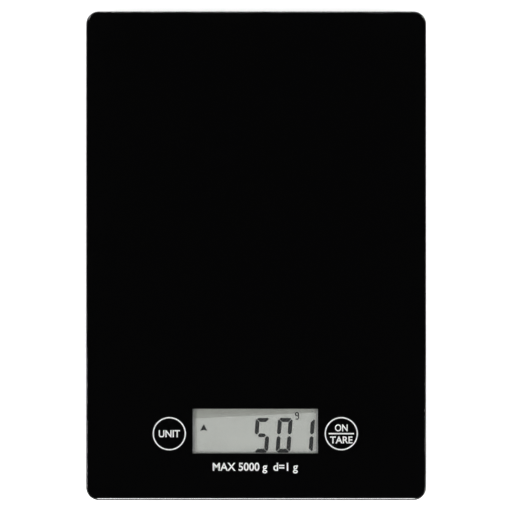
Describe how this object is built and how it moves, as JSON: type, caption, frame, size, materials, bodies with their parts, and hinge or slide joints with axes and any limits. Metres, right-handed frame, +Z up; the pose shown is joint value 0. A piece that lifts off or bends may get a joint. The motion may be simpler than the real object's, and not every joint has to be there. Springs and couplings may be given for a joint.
{
  "type": "digital kitchen scale",
  "caption": "Slim rectangular digital kitchen scale with a black glass weighing platform, a flush display window and two ringed touch keys.",
  "frame": {"origin": "on the table, under the middle of the glass platform", "axes": "+Z up; +X to the user's right; +Y away from the user, so the display and keys are near the -Y edge"},
  "size_m": [0.16, 0.23, 0.019],
  "materials": {
    "platform_glass": "tempered float glass, ground edges",
    "black_enamel": "fired, glossy behind glass",
    "white_enamel": "fired",
    "foam_tape": "matte foam tape",
    "housing_black": "fine moulded texture",
    "frame_grey": "moulded",
    "display_glass": "thin float glass",
    "polarizer_film": "satin film",
    "reflector_film": "pearl reflective film",
    "zebra_rubber": "layered elastomer",
    "board_laminate": "solder mask",
    "chip_resin": "cast drop",
    "capacitor_body": "sintered",
    "resistor_body": "sintered",
    "crystal_can": "drawn can",
    "spring_steel": "nickel plated",
    "screw_steel": "zinc plated",
    "board_screw_steel": "nickel plated",
    "spacer_steel": "stamped",
    "beam_aluminium": "milled, clear anodised",
    "gauge_foil": "film and foil",
    "sealant_resin": "cast",
    "cell_steel": "nickel plated",
    "contact_metal": "nickel plated",
    "foot_rubber": "matte",
    "wire_red": "insulation",
    "wire_black": "insulation",
    "wire_green": "insulation",
    "wire_white": "insulation"
  },
  "bodies": {
    "base": {"base_shell": "housing_black", "load_cell": "beam_aluminium", "strain_gauges": "gauge_foil", "gauge_sealant": "sealant_resin", "base_beam_spacer": "spacer_steel", "base_beam_screws": "screw_steel", "coin_cell": "cell_steel", "battery_contact_positive": "contact_metal", "battery_contact_negative": "contact_metal", "battery_wire_red": "wire_red", "battery_wire_black": "wire_black", "gauge_wire_red": "wire_red", "gauge_wire_black": "wire_black", "gauge_wire_green": "wire_green", "gauge_wire_white": "wire_white", "foot_front_left": "foot_rubber", "foot_front_right": "foot_rubber", "foot_rear_left": "foot_rubber", "foot_rear_right": "foot_rubber"},
    "platform": {"glass_platform": "platform_glass", "enamel_print": "black_enamel", "legend_print": "white_enamel", "adhesive_tape": "foam_tape", "platform_tray": "housing_black", "tray_beam_spacer": "spacer_steel", "tray_beam_screws": "screw_steel", "lcd_front_polarizer": "polarizer_film", "lcd_front_glass": "display_glass", "lcd_rear_glass": "display_glass", "lcd_reflector": "reflector_film", "lcd_frame": "frame_grey", "zebra_strip": "zebra_rubber", "circuit_board": "board_laminate", "board_screws": "board_screw_steel", "controller_chip": "chip_resin", "board_capacitors": "capacitor_body", "board_resistors": "resistor_body", "crystal": "crystal_can", "touch_spring_unit": "spring_steel", "touch_spring_tare": "spring_steel"},
    "battery_door": {"battery_door": "housing_black", "battery_door_latch": "housing_black"}
  },
  "joints": [
    {"name": "weigh_travel", "type": "slide", "parent": "base", "child": "platform", "axis": [0, 0, -1], "range_m": [0, 0.0006], "stiffness_N_per_m": 122500, "springref_m": -0.00004, "deforming": ["load_cell", "gauge_sealant", "strain_gauges", "battery_wire_red", "battery_wire_black", "gauge_wire_red", "gauge_wire_black", "gauge_wire_green", "gauge_wire_white"]},
    {"name": "battery_door_hinge", "type": "hinge", "parent": "base", "child": "battery_door", "pos_m": [0.04, 0.0407, 0.0028], "axis": [1, 0, 0], "range_deg": [0, 85], "deforming": ["battery_door_latch"]}
  ]
}
